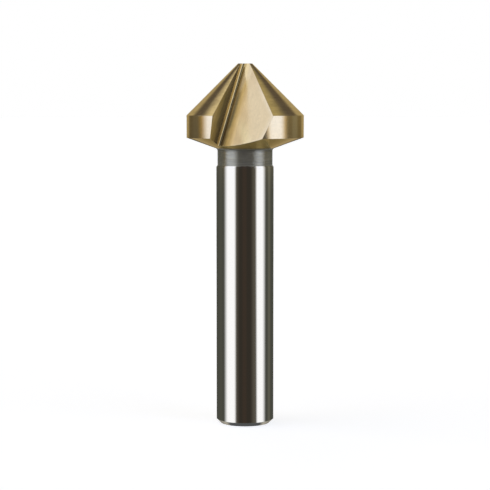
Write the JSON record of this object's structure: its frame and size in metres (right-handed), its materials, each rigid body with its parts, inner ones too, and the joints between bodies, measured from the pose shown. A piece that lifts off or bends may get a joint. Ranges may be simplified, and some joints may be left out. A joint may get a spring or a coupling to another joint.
{
  "type": "countersink bit",
  "caption": "One-piece cone countersink bit with a fluted, gold-coated cutting head, a short neck and a plain round shank for a drill chuck.",
  "frame": {"origin": "centre of the shank's end face", "axes": "+Z along the tool's axis from the shank's end to the cutting point; one flute opens towards -Y"},
  "size_m": [0.0204, 0.0199, 0.063],
  "materials": {
    "tool_steel": "polished ground shank, grey turned neck, gold nitride coating on the head"
  },
  "bodies": {
    "root": {"countersink_bit": "tool_steel"}
  },
  "joints": []
}
